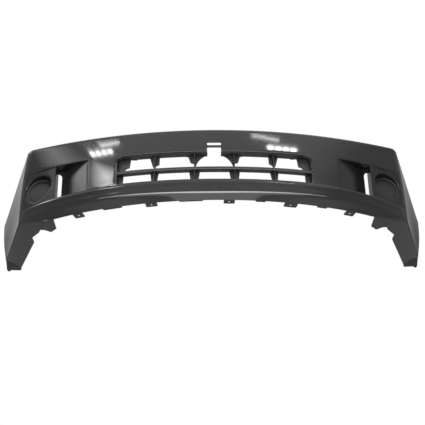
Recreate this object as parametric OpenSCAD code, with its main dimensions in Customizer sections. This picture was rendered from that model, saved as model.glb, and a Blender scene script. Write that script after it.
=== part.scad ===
// Front bumper cover of a small saloon car, with the plastic pieces that clip
// and rivet into it. It lies as on the car: +Z is up, the cover faces -Y, and
// x = 0 is the middle of the car. The origin is the middle of the row of
// bolts that hangs the cover from the car's front panel.

/* [Cover] */
// Height of the top edge above the lower edge at the middle
cover_h = 340; // [320:5:360]
// Height of the crease between the face and the chin
crease_h = 30; // [26:1:36]
// Wall thickness of the moulded skin
skin_t = 3; // [2.5:0.5:4]
// How far the face leans back from the crease to the top edge
face_lean = 40; // [30:1:50]
// How far the chin is tucked back behind the crease at the middle
chin_tuck = 14; // [8:1:20]
// How far the face bulges between the crease and the top edge
face_bulge = 5; // [0:1:8]
// Depth of the flange along the top edge
top_flange_w = 28; // [24:1:34]

/* [Wings] */
// Half width of the cover at its front corners
corner_x = 705; // [690:5:720]
// Half width at the upper rear corner of a wing
wing_x = 850; // [840:5:860]
// How far behind the crease a wing ends
wing_y = 480; // [460:5:500]
// Height of the upper rear corner of a wing
wing_top_h = 205; // [190:5:230]
// Width of the flange along the wheel arch
arch_flange_w = 26; // [22:1:32]

/* [Intake] */
// Half width of the intake opening
intake_x = 352; // [340:1:360]
// Height of the intake's lower edge
intake_low = 84; // [78:1:90]
// Height of the intake's upper edge
intake_high = 216; // [206:1:222]
// Upper corner radius of the intake opening
intake_r = 26; // [10:1:30]
// Half width of the number plate slit and of the notch below it
slit_x = 25; // [20:1:30]
// Depth of the notch above the intake's upper edge
notch_h = 25; // [15:1:28]

/* [Lower grille] */
// Height of the grille blade's underside
blade_z = 132; // [126:1:138]
// Height of the grille blade
blade_h = 13; // [10:1:16]
// Depth of the grille blade from front to back
blade_d = 20; // [16:1:22]
// Distance between neighbouring grille ribs
rib_pitch = 141; // [136:1:146]
// Thickness of a grille rib
rib_t = 3; // [2.5:0.5:4]
// How far the webs lie behind the face
web_depth = 24; // [22:1:26]
// Width of the web behind an upper rib
upper_web_w = 34; // [28:1:40]
// Width of the web behind a lower rib
lower_web_w = 34; // [26:1:38]

/* [Fog lamp pockets] */
// Inner end of a pocket
pocket_in = 456; // [450:1:462]
// Outer end of a pocket
pocket_out = 702; // [690:1:704]
// Height of a pocket's floor
pocket_low = 76; // [72:1:80]
// Height of a pocket's ceiling
pocket_high = 223; // [216:1:226]
// Radius of the round lamp seat
lamp_r = 55; // [50:1:56]
// Distance of the lamp seat from the middle of the car
lamp_x = 643; // [642:1:645]
// Height of the lamp seat's axis
lamp_z = 149; // [146:1:152]
// Depth of the lamp seat, along its axis
lamp_depth = 25; // [23:1:26]
// How far the ramp of a pocket falls behind the face
ramp_depth = 40; // [34:1:44]
// Outer end of the ramp
ramp_out = 547; // [540:1:550]
// Inner edge of the air slot
slot_in = 563; // [558:1:566]
// Outer edge of the air slot
slot_out = 581; // [578:1:584]

/* [Fixings] */
// Radius of the bolt holes in the top flange
bolt_hole_r = 3.5; // [3:0.5:4.5]
// Half the distance between the two inner bolt holes
bolt_in_x = 150; // [130:5:170]
// Half the distance between the two outer bolt holes
bolt_out_x = 430; // [410:5:450]
// Radius of the clip holes in the lower tabs
tab_hole_r = 4; // [3:0.5:4.5]
// Radius of the screw holes in the wheel arch flanges
arch_hole_r = 3; // [2.5:0.5:3.5]
// Radius of a plastic rivet's shank
rivet_r = 3; // [2.5:0.5:3.5]

/* [Hidden] */
$fn = 48;

black = [0.06, 0.06, 0.065];
grain = [0.10, 0.10, 0.105];
nylon = [0.17, 0.17, 0.18];
zinc = [0.62, 0.62, 0.60];

// The row of bolts: behind the top edge at the middle, on top of the flange
bolt_y = face_lean + 30;
datum = [0, bolt_y, cover_h];

// Plan outlines. At the front each line is a shallow bowl, y against x;
// behind the corner each wing is straight.
function crease_y(x) = 2.09e-4 * x * x + 3.9e-10 * pow(x, 4);
function top_y(x) = face_lean + 2.35e-4 * x * x;
function chin_y(x) = chin_tuck + 3.45e-4 * x * x;
// The face between crease and top edge, at height z
function face_y(x, z) = let (t = (z - crease_h) / (cover_h - crease_h))
    crease_y(x) * (1 - t) + top_y(x) * t - face_bulge * sin(180 * t);

// Where the front of each line ends and its corner begins
top_front_x = 672;
crease_front_x = 678;
chin_front_x = 596;
// Half widths at the rear end of a wing, at the crease and at the lower edge
crease_end_x = 822;
chin_end_x = 757;

// Stations along half of the cover: the front, the corner, the wing
front_steps = 20;
corner_steps = 6;
wing_steps = 9;
function unit(v) = v / norm(v);
function ramp(low, high, t) = low + (high - low) * t;
function bend(a, b, c, t) = (1 - t) * (1 - t) * a + 2 * t * (1 - t) * b + t * t * c;
function front_x(i, end) = end * i / front_steps;
// A half outline: its front bowl as points, then a bend to the line wing_a to wing_b
function half_line(front, wing_a, wing_b) = let (
        last = front[len(front) - 1],
        along = unit(last - front[len(front) - 2]),
        side = unit(wing_b - wing_a),
        cross_z = along.x * side.y - along.y * side.x,
        reach = ((wing_a.x - last.x) * side.y - (wing_a.y - last.y) * side.x) / cross_z,
        knee = last + along * reach,
        first = knee + side * abs(reach))
    concat(front,
        [for (i = [1:corner_steps]) bend(last, knee, first, i / corner_steps)],
        [for (i = [1:wing_steps]) ramp(first, wing_b, i / wing_steps)]);
top_line = half_line([for (i = [0:front_steps]) let (x = front_x(i, top_front_x)) [x, top_y(x)]],
    [corner_x, 165], [wing_x, wing_y - 4]);
crease_line = half_line([for (i = [0:front_steps]) let (x = front_x(i, crease_front_x)) [x, crease_y(x)]],
    [corner_x, 196], [crease_end_x, wing_y]);
chin_line = half_line([for (i = [0:front_steps]) let (x = front_x(i, chin_front_x)) [x, chin_y(x)]],
    [626, 197], [chin_end_x, wing_y - 5]);
stations = len(top_line);
// The top edge is level along the front and falls along the wing
function top_z(i) = i <= front_steps + corner_steps ? cover_h :
    let (t = (i - front_steps - corner_steps) / wing_steps)
    ramp(cover_h, wing_top_h, t * t * (3 - 2 * t) * 0.35 + t * 0.65);
function inward(line, i) = let (a = line[max(i - 1, 0)], b = line[min(i + 1, stations - 1)],
    d = unit(b - a)) i == 0 ? [0, 1] : [-d.y, d.x];

// The section, from the flange's inner edge over the face to the chin's lower
// edge. Each row is [line, share, inset, drop]: line 0 is the face from top
// edge to crease, line 1 the chin from crease to lower edge.
section = [
    [0, 0, 12 + top_flange_w, 0], [0, 0, 16, 0], [0, 0, 11, 0], [0, 0, 5, -2], [0, 0, 1.5, -5],
    [0, 0.045, 0, 0], [0, 0.15, 0, 0], [0, 0.3, 0, 0], [0, 0.45, 0, 0], [0, 0.6, 0, 0],
    [0, 0.75, 0, 0], [0, 0.88, 0, 0], [0, 0.98, 0, 0], [0, 1, 1.5, -2],
    [1, 0.12, 1, 0], [1, 0.5, 0, 0], [1, 1, 0, 0]];
rows = len(section);
function skin_point(i, row) = let (
        is_chin = section[row][0] == 1,
        share = section[row][1],
        upper = is_chin ? crease_line : top_line,
        lower = is_chin ? chin_line : crease_line,
        upper_z = is_chin ? crease_h : top_z(i),
        lower_z = is_chin ? 0 : crease_h,
        swell = is_chin ? 0 : face_bulge * sin(180 * share),
        flat = ramp(upper[i], lower[i], share) + inward(upper, i) * (section[row][2] - swell))
    [i == 0 ? 0 : flat.x, flat.y, ramp(upper_z, lower_z, share) + section[row][3]];

// Both halves side by side, from the left wing's end to the right one's
half_grid = [for (i = [0:stations - 1]) [for (row = [0:rows - 1]) skin_point(i, row)]];
function mirrored(column) = [for (p = column) [-p.x, p.y, p.z]];
outer_grid = concat([for (i = [stations - 1:-1:1]) mirrored(half_grid[i])], half_grid);
columns = len(outer_grid);
function normal_at(i, j) = let (
        across = outer_grid[min(i + 1, columns - 1)][j] - outer_grid[max(i - 1, 0)][j],
        down = outer_grid[i][min(j + 1, rows - 1)] - outer_grid[i][max(j - 1, 0)])
    unit(cross(down, across));
inner_grid = [for (i = [0:columns - 1]) [for (j = [0:rows - 1])
    outer_grid[i][j] - skin_t * normal_at(i, j)]];

// Closes an outer and an inner grid of points into one solid wall
module wall(outside, inside) {
    nc = len(outside);
    nr = len(outside[0]);
    points = concat([for (c = inside) each c], [for (c = outside) each c]);
    half = nc * nr;
    function at(i, j) = i * nr + j;
    faces = concat(
        [for (i = [0:nc - 2]) for (j = [0:nr - 2]) each
            [[at(i, j), at(i, j + 1), at(i + 1, j)], [at(i + 1, j), at(i, j + 1), at(i + 1, j + 1)]]],
        [for (i = [0:nc - 2]) for (j = [0:nr - 2]) each
            [[half + at(i, j), half + at(i + 1, j), half + at(i, j + 1)],
             [half + at(i + 1, j), half + at(i + 1, j + 1), half + at(i, j + 1)]]],
        [for (i = [0:nc - 2]) for (j = [0, nr - 1]) let (a = at(i, j), b = at(i + 1, j)) each
            j == 0 ? [[a, b, half + a], [b, half + b, half + a]]
                   : [[a, half + a, b], [b, half + a, half + b]]],
        [for (j = [0:nr - 2]) for (i = [0, nc - 1]) let (a = at(i, j), b = at(i, j + 1)) each
            i == 0 ? [[a, half + a, b], [b, half + a, half + b]]
                   : [[a, b, half + a], [b, half + b, half + a]]]);
    polyhedron(points, faces, convexity = 8);
}

// Turns a drawing in x and z into a bar that runs from y = near to y = far
module through(near, far) {
    translate([0, far, 0])
        rotate([90, 0, 0])
            linear_extrude(far - near)
                children();
}
module both_sides() {
    children();
    mirror([1, 0, 0])
        children();
}
function arc(centre, r, from, to, steps = 6) =
    [for (i = [0:steps]) let (a = from + (to - from) * i / steps) centre + r * [cos(a), sin(a)]];
function intake_outline(gap = 0) = let (
        x = intake_x - gap, low = intake_low + gap, high = intake_high - gap, r = intake_r - gap, s = 8)
    concat(arc([x - r, high - r], r, 0, 90), arc([r - x, high - r], r, 90, 180),
        arc([s - x, low + s], s, 180, 270, 3), arc([x - s, low + s], s, 270, 360, 3));
pocket_outline = concat(
    arc([pocket_in + 8, pocket_low + 12], 8, 180, 270, 3), arc([pocket_out - 14, pocket_low + 10], 14, 270, 360),
    arc([pocket_out - 14, pocket_high - 14], 14, 0, 90), arc([pocket_in + 8, pocket_high - 8], 8, 90, 180, 3));

// A tab of the lower edge, drawn from the chin backwards: middle, width, length
small_tabs = [[-353, 68, 8], [-219, 40, 22], [-82, 80, 6], [48, 38, 22], [155, 34, 6],
    [262, 46, 24], [371, 35, 7], [-478, 36, 26], [478, 36, 26]];
// Clip holes: place along x, and distance behind the chin
tab_holes = [[-474, 14], [474, 14], [-218, 12], [48, 12], [263, 13]];
function tab_y(x) = chin_y(x) + 1;
module tab(x, wide, long) {
    slope = atan(6.9e-4 * x);
    translate([x, tab_y(x), 0.4])
        rotate([0, 0, slope])
            translate([-wide / 2, 0, 0])
                cube([wide, long, skin_t]);
}
module corner_tab() {
    translate([0, 0, 0.4])
        linear_extrude(skin_t)
            polygon([[566, 127.5], [567, 190], [590, 213], [611, 198], [613, 180], [594, 139.5]]);
}
// The flange along the wheel arch. Its foot hangs below the lower edge.
module arch_flange() {
    flange_y = wing_y - 9;
    rim = crease_end_x - 3;
    toe = chin_end_x - 1;
    foot = -11;
    through(flange_y, flange_y + skin_t)
        polygon([[wing_x - 2, wing_top_h - 3], [rim, crease_h + 1], [rim - 2, foot - 1],
            [rim - 7, foot - 6], [rim - 14, foot - 6], [rim - 19, foot], [toe + 4, foot],
            [toe, foot + 5], [toe, 2], [toe + 14, 20], [rim - arch_flange_w, crease_h + 14],
            [wing_x - 2 - arch_flange_w, wing_top_h - 3]]);
}
// Holes through the wheel arch flange: height, place along x
arch_holes = [[70, 814], [150, 826]];
screw_posts = [[-285, 234], [-95, 234], [95, 234], [285, 234], [-285, 66], [-95, 66], [95, 66], [285, 66]];
function post_end(p) = face_y(p[0], p[1]) + web_depth;

module fascia() {
    color(black)
        difference() {
            union() {
                wall(outer_grid, inner_grid);
                for (t = small_tabs)
                    tab(t[0], t[1], t[2]);
                both_sides() {
                    corner_tab();
                    arch_flange();
                }
                for (p = screw_posts)
                    translate([p[0], face_y(p[0], p[1]) + 1.5, p[1]])
                        rotate([-90, 0, 0])
                            cylinder(r = 6, h = post_end(p) - face_y(p[0], p[1]) - 1.5);
            }
            through(-20, 130)
                polygon(intake_outline());
            through(-20, 100)
                translate([-slit_x, intake_high - 2])
                    square([2 * slit_x, notch_h + 2]);
            through(-20, 100)
                translate([-slit_x, intake_high + notch_h + 8])
                    square([2 * slit_x, 15]);
            both_sides() {
                through(30, 218)
                    polygon(pocket_outline);
                translate([0, 0, -2])
                    linear_extrude(26)
                        polygon([[613, 199], [667, 249], [667, 284], [640, 262], [620, 230]]);
                for (h = arch_holes)
                    translate([h[1], wing_y - 12, h[0]])
                        rotate([-90, 0, 0])
                            cylinder(r = arch_hole_r, h = 12);
                translate([bolt_in_x, bolt_y, cover_h - 8])
                    cylinder(r = bolt_hole_r, h = 16);
                translate([bolt_out_x, top_y(bolt_out_x) + 26, cover_h - 8])
                    cylinder(r = bolt_hole_r, h = 16);
            }
            for (x = rivet_places)
                translate([x, top_y(x) + 26, cover_h - 8])
                    cylinder(r = rivet_r, h = 16);
            for (side = [-1, 1])
                for (i = wing_rivets)
                    on_wing_flange(side, i)
                        translate([0, 0, -8])
                            cylinder(r = rivet_r, h = 16);
            for (h = tab_holes)
                translate([h[0], tab_y(h[0]) + h[1], -2])
                    cylinder(r = tab_hole_r, h = 8);
            for (p = screw_posts)
                translate([p[0], post_end(p) - 12, p[1]])
                    rotate([-90, 0, 0])
                        cylinder(r = 1.6, h = 14);
        }
}

// Rivets: along the top flange, and at these stations of a wing's flange
rivet_places = [-560, -330, -70, 70, 330, 560];
wing_rivets = [front_steps + corner_steps + 2, front_steps + corner_steps + 5, stations - 2];
// Puts children on the wing's flange at a station, +Z out of its upper face
module on_wing_flange(side, i) {
    a = skin_point(i - 1, 1);
    b = skin_point(i + 1, 1);
    here = (skin_point(i, 0) + skin_point(i, 1)) / 2;
    slope = atan((b.z - a.z) / norm([b.x - a.x, b.y - a.y]));
    heading = atan2(b.y - a.y, b.x - a.x);
    mirror([side < 0 ? 1 : 0, 0, 0])
        translate(here)
            rotate([0, 0, heading])
                rotate([0, -slope, 0])
                    children();
}

// A flat strip that follows an outline at a height: from inset near to inset far
module strip(line_y, x_from, x_to, near, far, low, thick, steps = 24) {
    xs = [for (i = [0:steps]) x_from + (x_to - x_from) * i / steps];
    translate([0, 0, low])
        linear_extrude(thick)
            polygon(concat([for (x = xs) [x, line_y(x) + near]],
                [for (i = [steps:-1:0]) [xs[i], line_y(xs[i]) + far]]));
}

module lower_grille() {
    gap = 0.5;
    wall_t = 2.5;
    x_end = intake_x - gap;
    top_lip = function (x) face_y(x, intake_high);
    low_lip = function (x) face_y(x, intake_low);
    blade_line = function (x) face_y(x, blade_z);
    upper = intake_high - gap - wall_t;
    lower = intake_low + gap;
    color(grain)
        difference() {
            union() {
                // Surround: ceiling, floor and side walls
                for (side = [[-x_end + 14, -slit_x], [slit_x, x_end - 14]])
                    strip(top_lip, side[0], side[1], 3.5, web_depth + 3, upper, wall_t, 12);
                strip(low_lip, 6 - x_end, x_end - 6, 3.5, web_depth + 3, lower, wall_t);
                both_sides()
                    side_wall(x_end, wall_t);
                // Blade
                strip(blade_line, 1 - x_end, x_end - 1, 5, 5 + blade_d, blade_z, blade_h);
                for (k = [-1.5, -0.5, 0.5, 1.5])
                    rib(k * rib_pitch);
                for (k = [-1.5, -0.5, 0.5, 1.5])
                    web(k * rib_pitch);
                both_sides()
                    end_web(x_end);
                // Ears that lie on the cover's screw posts
                for (p = screw_posts)
                    ear(p);
            }
            for (p = screw_posts)
                translate([p[0], post_end(p) - 2, p[1]])
                    rotate([-90, 0, 0])
                        cylinder(r = 2.2, h = 12);
        }
}
module side_wall(x_end, wall_t) {
    translate([x_end - wall_t, 0, 0])
        rotate([90, 0, 90])
            linear_extrude(wall_t)
                polygon([[face_y(x_end, intake_low) + 3.5, intake_low + 4],
                    [face_y(x_end, intake_high) + 3.5, intake_high - 20],
                    [face_y(x_end, intake_high) + web_depth + 3, intake_high - 20],
                    [face_y(x_end, intake_low) + web_depth + 3, intake_low + 4]]);
}
module rib(x) {
    translate([x - rib_t / 2, 0, 0])
        rotate([90, 0, 90])
            linear_extrude(rib_t)
                polygon([for (q = [[7, intake_low + 1], [7, blade_z + 2], [7, intake_high - 1],
                        [web_depth + 2, intake_high - 1], [web_depth + 2, blade_z + 2],
                        [web_depth + 2, intake_low + 1]])
                    [face_y(x, q[1]) + q[0], q[1]]]);
}
// Stands children on the plane of the webs at x, with its drawing in x and z
module web_plane(x) {
    mid = (intake_low + intake_high) / 2;
    tilt = atan((face_y(x, intake_high) - face_y(x, intake_low)) / (intake_high - intake_low));
    yaw = atan(face_y(x + 0.5, mid) - face_y(x - 0.5, mid));
    translate([x, face_y(x, mid) + web_depth, mid])
        rotate([-tilt, 0, yaw])
            rotate([90, 0, 0])
                translate([0, -mid, -1])
                    linear_extrude(2)
                        children();
}
module web(x) {
    u = upper_web_w / 2;
    l = lower_web_w / 2;
    top = intake_high - 1;
    low = intake_low + 1;
    web_plane(x)
        polygon([[-u, top], [-u, top - 40], [-2, top - 52], [-2, blade_z + blade_h],
            [-l, blade_z + 4], [-l + 5, low], [l - 5, low], [l, blade_z + 4],
            [2, blade_z + blade_h], [2, top - 52], [u, top - 40], [u, top]]);
}
module end_web(x_end) {
    top = intake_high - 1;
    low = intake_low + 3;
    web_plane(x_end - 30)
        polygon([[-22, top], [-22, top - 45], [-8, top - 48], [6, blade_z + blade_h], [6, blade_z],
            [-4, blade_z], [-4, low], [30, low], [30, top - 25], [14, top]]);
}
module ear(p) {
    up = p[1] > blade_z ? 1 : -1;
    base = up > 0 ? intake_high - 3 : intake_low + 3;
    translate([p[0], post_end(p) + 0.2, 0])
        rotate([90, 0, 0])
            mirror([0, 0, 1])
                linear_extrude(2.5)
                    union() {
                        translate([0, p[1]])
                            circle(r = 7);
                        translate([-7, min(base, p[1])])
                            square([14, abs(p[1] - base)]);
                    }
}
module grille_screws() {
    color(zinc)
        for (p = screw_posts)
            translate([p[0], post_end(p) + 2.7, p[1]])
                rotate([90, 0, 0]) {
                    cylinder(r = 1.6, h = 13);
                    translate([0, 0, -2.4])
                        cylinder(r = 4.2, h = 2.4);
                }
}

// Fog lamp pocket on the right. Behind the slot its face is a flat plate that
// leans back outwards; the lamp looks nearly straight ahead, so its seat is
// deepest on the inner side.
function pocket_y(x) = face_y(x, lamp_z);
plate_slope = (pocket_y(690) - pocket_y(slot_out)) / (690 - slot_out);
function plate_y(x) = pocket_y(slot_out) + 5 + (x - slot_out) * plate_slope;
lamp_yaw = 10;
seat_wall = 2.5;
module at_lamp() {
    translate([lamp_x, plate_y(lamp_x), lamp_z])
        rotate([0, 0, lamp_yaw])
            rotate([90, 0, 0])
                children();
}
function left_of(points, i) = let (
        d = unit(points[min(i + 1, len(points) - 1)] - points[max(i - 1, 0)]))
    [-d.y, d.x];
module plan_wall(points, thick) {
    last = len(points) - 1;
    linear_extrude(pocket_high - pocket_low - 2)
        polygon(concat(points, [for (i = [last:-1:0]) points[i] + thick * left_of(points, i)]));
}
module fog_bezel() {
    gap = 0.5;
    in = pocket_in + gap;
    out = pocket_out - gap - 1;
    plate_in = [slot_out, plate_y(slot_out)];
    plate_out = [out, plate_y(out)];
    slot_y = pocket_y(slot_in) + ramp_depth;
    difference() {
        union() {
            translate([0, 0, pocket_low + 1]) {
                // Ramp, the strip beside the slot, and the wall beyond it
                plan_wall([[in + 1, pocket_y(pocket_in) + 8], [ramp_out, pocket_y(ramp_out) + ramp_depth],
                    [slot_in, slot_y + 1]], 2.5);
                plan_wall([plate_in + [0, 0.5], [slot_out + 0.1, pocket_y(slot_out) + ramp_depth + 4]], -2.5);
                plan_wall([plate_in, plate_out], 2.5);
            }
            // The slot's upper end is closed by a curved corner
            through(slot_y, slot_y + 4)
                polygon(concat([[slot_in - 3, pocket_high - 2], [slot_in - 3, pocket_high - 34]],
                    arc([slot_out + 1, pocket_high - 34], slot_out - slot_in + 1, 180, 95),
                    [[slot_out + 2, pocket_high - 14], [slot_out + 2, pocket_high - 2]]));
            tray_floor(pocket_low + gap, 2.5, 12);
            tray_floor(pocket_high - gap - 2.5, 2.5, 12);
            intersection() {
                at_lamp()
                    translate([0, 0, -lamp_depth - seat_wall])
                        cylinder(r = lamp_r + seat_wall, h = lamp_depth + 60);
                translate([0, 0, pocket_low + 2])
                    linear_extrude(pocket_high - pocket_low - 4)
                        polygon([plate_in + [1, 1], plate_out + [0, 1], plate_out + [0, 60], plate_in + [1, 90]]);
            }
            inner_end(in);
        }
        at_lamp()
            translate([0, 0, -lamp_depth])
                cylinder(r = lamp_r, h = lamp_depth + 60);
        at_lamp()
            translate([0, 0, -lamp_depth - 10])
                cylinder(r = lamp_r - 10, h = 30);
    }
}
module tray_floor(low, thick, steps) {
    in = pocket_in + 8;
    out = pocket_out - 10;
    xs = [for (i = [0:steps]) in + (out - in) * i / steps];
    back = function (x) x < ramp_out ? ramp(10, ramp_depth + 2, (x - pocket_in) / (ramp_out - pocket_in))
        : ramp_depth + 4;
    translate([0, 0, low])
        linear_extrude(thick)
            polygon(concat([for (x = xs) [x, face_y(x, low) + 1.5]],
                [for (i = [steps:-1:0]) [xs[i], pocket_y(xs[i]) + back(xs[i])]]));
}
module inner_end(in) {
    translate([in, 0, 0])
        rotate([90, 0, 90])
            linear_extrude(2.5)
                polygon([[face_y(in, pocket_low) + 1.5, pocket_low + 8], [face_y(in, lamp_z) + 1.5, lamp_z],
                    [face_y(in, pocket_high) + 1.5, pocket_high - 8],
                    [pocket_y(in) + 11, pocket_high - 8], [pocket_y(in) + 11, pocket_low + 8]]);
}
module fog_bezel_right() {
    color(grain)
        fog_bezel();
}
module fog_bezel_left() {
    color(grain)
        mirror([1, 0, 0])
            fog_bezel();
}
// A shallow dish that closes the lamp seat, held by a hub with three barbs
module fog_blank() {
    at_lamp()
        translate([0, 0, -lamp_depth])
            rotate_extrude()
                polygon([[0, 6], [20, 5.4], [38, 3.4], [lamp_r - 3, 2.6], [lamp_r - 0.5, 4], [lamp_r - 0.5, 0.2],
                    [lamp_r - 10.6, 0.2], [lamp_r - 10.6, -5], [lamp_r - 12.6, -5], [lamp_r - 12.6, 0.2],
                    [38, 1], [20, 3], [0, 3.6]]);
}
module fog_blank_right() {
    color(black)
        fog_blank();
}
module fog_blank_left() {
    color(black)
        mirror([1, 0, 0])
            fog_blank();
}

// Stiffening strip under the top flange
module upper_retainer() {
    low = cover_h - skin_t - 2.8;
    color(nylon)
        difference() {
            strip(function (x) top_y(x), -600, 600, 15, 12 + top_flange_w, low, 2.5, 48);
            both_sides() {
                translate([bolt_in_x, bolt_y, low - 1])
                    cylinder(r = bolt_hole_r + 1.5, h = 6);
                translate([bolt_out_x, top_y(bolt_out_x) + 26, low - 1])
                    cylinder(r = bolt_hole_r + 1.5, h = 6);
            }
            for (x = rivet_places)
                translate([x, top_y(x) + 26, low - 1])
                    cylinder(r = rivet_r, h = 6);
        }
}
// A push rivet: its head lies on z = 0 and the shank spreads below the grip
module rivet(grip) {
    rotate_extrude()
        polygon([[0, 2], [4, 2], [7, 0.8], [7, 0], [rivet_r - 0.1, 0], [rivet_r - 0.1, -grip],
            [rivet_r + 1.2, -grip - 1.5], [rivet_r - 1, -grip - 6], [0, -grip - 6]]);
}
module upper_retainer_rivets() {
    color(nylon)
        for (x = rivet_places)
            translate([x, top_y(x) + 26, cover_h])
                rivet(skin_t + 3);
}
// Angle strip under the sloping flange of a wing
module side_retainer(side) {
    first = front_steps + corner_steps + 1;
    last = stations - 1;
    flange = [for (i = [first:last]) let (
            edge = skin_point(i, 0), heel = skin_point(i, 1), d = unit(edge - heel),
            drop = [0, 0, -skin_t - 0.4])
        [heel + d * 1 + drop, edge + drop, edge + d * 0.5 + drop + [0, 0, -18]]];
    under = [for (i = [0:last - first]) [for (j = [0:2]) flange[i][j]
        + (j == 2 ? unit(flange[i][0] - flange[i][1]) * 2.5 : [0, 0, -2.5]
            + (j == 1 ? unit(flange[i][0] - flange[i][1]) * 2.5 : [0, 0, 0]))]];
    difference() {
        mirror([side < 0 ? 1 : 0, 0, 0])
            wall(under, flange);
        for (i = wing_rivets)
            on_wing_flange(side, i)
                translate([0, 0, -12])
                    cylinder(r = rivet_r, h = 16);
    }
}
module side_retainer_left() {
    color(nylon)
        side_retainer(-1);
}
module side_retainer_right() {
    color(nylon)
        side_retainer(1);
}
module side_rivets(side) {
    color(nylon)
        for (i = wing_rivets)
            on_wing_flange(side, i)
                rivet(skin_t + 3.4);
}
module side_retainer_rivets_left() {
    side_rivets(-1);
}
module side_retainer_rivets_right() {
    side_rivets(1);
}

// Spring nut that clips over the edge of the wheel arch flange
module arch_nut(hole) {
    front = wing_y - 9;
    translate([hole[1], front, hole[0]])
        difference() {
            union() {
                translate([-20, -1.2, -7])
                    cube([28, 1.2, 14]);
                translate([-20, skin_t, -7])
                    cube([28, 1.2, 14]);
                translate([-21, -1.2, -7])
                    cube([1.2, skin_t + 2.4, 14]);
                translate([0, -6, 0])
                    rotate([-90, 0, 0])
                        cylinder(r = 4, h = 6);
            }
            rotate([-90, 0, 0])
                translate([0, 0, -8])
                    cylinder(r = 2.1, h = 16);
        }
}
module arch_nuts_right() {
    color(zinc)
        for (h = arch_holes)
            arch_nut(h);
}
module arch_nuts_left() {
    color(zinc)
        mirror([1, 0, 0])
            for (h = arch_holes)
                arch_nut(h);
}

module put() {
    translate(-datum)
        children();
}
put() fascia();
put() lower_grille();
put() grille_screws();
put() fog_bezel_left();
put() fog_bezel_right();
put() fog_blank_left();
put() fog_blank_right();
put() upper_retainer();
put() upper_retainer_rivets();
put() side_retainer_left();
put() side_retainer_right();
put() side_retainer_rivets_left();
put() side_retainer_rivets_right();
put() arch_nuts_left();
put() arch_nuts_right();
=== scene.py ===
"""The looks of a front bumper cover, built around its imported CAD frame.

Shapes are worked out in millimetres in the car's own frame: x across the car,
y backwards, z up from the cover's lower edge, with y = 0 at the foremost point
of the crease. metres() turns such a point into the part's frame. The face of
the cover looks along -Y.
"""

import math

import bmesh
import bpy
from mathutils import Matrix, Vector
from mathutils.geometry import delaunay_2d_cdt


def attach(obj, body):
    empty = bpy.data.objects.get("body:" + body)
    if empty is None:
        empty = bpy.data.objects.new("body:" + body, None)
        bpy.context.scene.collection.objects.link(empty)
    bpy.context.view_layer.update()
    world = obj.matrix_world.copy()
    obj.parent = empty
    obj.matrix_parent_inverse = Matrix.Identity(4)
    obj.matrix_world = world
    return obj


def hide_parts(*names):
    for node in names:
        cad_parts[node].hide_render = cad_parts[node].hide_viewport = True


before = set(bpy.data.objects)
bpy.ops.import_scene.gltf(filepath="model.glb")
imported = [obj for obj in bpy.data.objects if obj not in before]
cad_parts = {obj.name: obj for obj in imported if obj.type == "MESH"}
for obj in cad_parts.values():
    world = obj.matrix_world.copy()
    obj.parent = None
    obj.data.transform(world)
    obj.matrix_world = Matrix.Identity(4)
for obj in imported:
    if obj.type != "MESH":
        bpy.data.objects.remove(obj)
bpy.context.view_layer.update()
scene = bpy.context.scene
scene.view_settings.view_transform = "Standard"

# ---------------------------------------------------------------- dimensions
# Heights of the top edge and of the crease above the chin, and the skin's thickness
COVER_H = 340.0
CREASE_H = 30.0
SKIN = 3.0
# How far the top edge and the chin's lower edge lie behind the crease at the middle
FACE_LEAN = 40.0
CHIN_TUCK = 14.0
FACE_BULGE = 5.0
FLANGE_INSET = 40.0
# The corner, and the wing's rear end: at the top, at the crease and at the chin
CORNER_X = 705.0
WING_X = 856.0
WING_Y = 480.0
CREASE_END_X, CHIN_END_X = 822.0, 757.0
WING_TOP_H = 205.0
# How far the bolt holes lie behind the top edge: the inner pair, then the outer
INNER_BOLT_BACK, OUTER_BOLT_BACK = 30.0, 26.0
DATUM = Vector((0.0, FACE_LEAN + INNER_BOLT_BACK, COVER_H))

# How strongly each plan line bows backwards, and the crease's extra flare
TOP_BOW, CREASE_BOW, CHIN_BOW = 2.35e-4, 2.09e-4, 3.45e-4
CREASE_FLARE = 3.9e-10

# The intake with its notch, the slit above it, and the grille in it
INTAKE_X, INTAKE_LOW, INTAKE_HIGH = 352.0, 84.0, 216.0
INTAKE_UPPER_R, INTAKE_LOWER_R = 26.0, 8.0
# How much closer to the middle the openings end at the bottom than at the top
INTAKE_LEAN, POCKET_LEAN = 7.0, 11.0
NOTCH_X, NOTCH_TOP = 25.0, 241.0
SLIT_X, SLIT_LOW, SLIT_HIGH = 25.0, 249.0, 264.0
BLADE_Z, BLADE_H, BLADE_D = 132.0, 13.0, 20.0
RIB_PITCH = 141.0
WEB_DEPTH = 24.0
# The fog lamp pockets: opening, lamp seat, ramp and air slot
POCKET_IN, POCKET_OUT = 456.0, 699.0
POCKET_LOW, POCKET_HIGH = 76.0, 223.0
LAMP_R, LAMP_X, LAMP_Z, LAMP_DEPTH, LAMP_YAW = 55.0, 643.0, 149.0, 25.0, 10.0
RAMP_DEPTH, RAMP_OUT, SLOT_IN, SLOT_OUT = 40.0, 547.0, 563.0, 581.0
POCKET_WALL = 2.5
# Places of the holes in the top flange, and of the screws that hold the grille
INNER_BOLT_X, OUTER_BOLT_X = 150, 430
BOLT_PLACES = (-OUTER_BOLT_X, -INNER_BOLT_X, INNER_BOLT_X, OUTER_BOLT_X)
RIVET_PLACES = (-560, -330, -70, 70, 330, 560)
SCREW_POSTS = [(x, z) for z in (234, 66) for x in (-285, -95, 95, 285)]
POST_R, LUG_R = 6, 7


def metres(point):
    """A point in millimetres of the car's frame, in metres of the part's frame."""
    return (Vector(point) - DATUM) / 1000.0


def ramp(low, high, share):
    return low + (high - low) * share


def clamp(share):
    return min(max(share, 0), 1)


def bend(a, b, c, t):
    """A point on the curve that leaves a towards b and arrives at c."""
    return a * (1 - t) ** 2 + b * (2 * t * (1 - t)) + c * t * t


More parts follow.
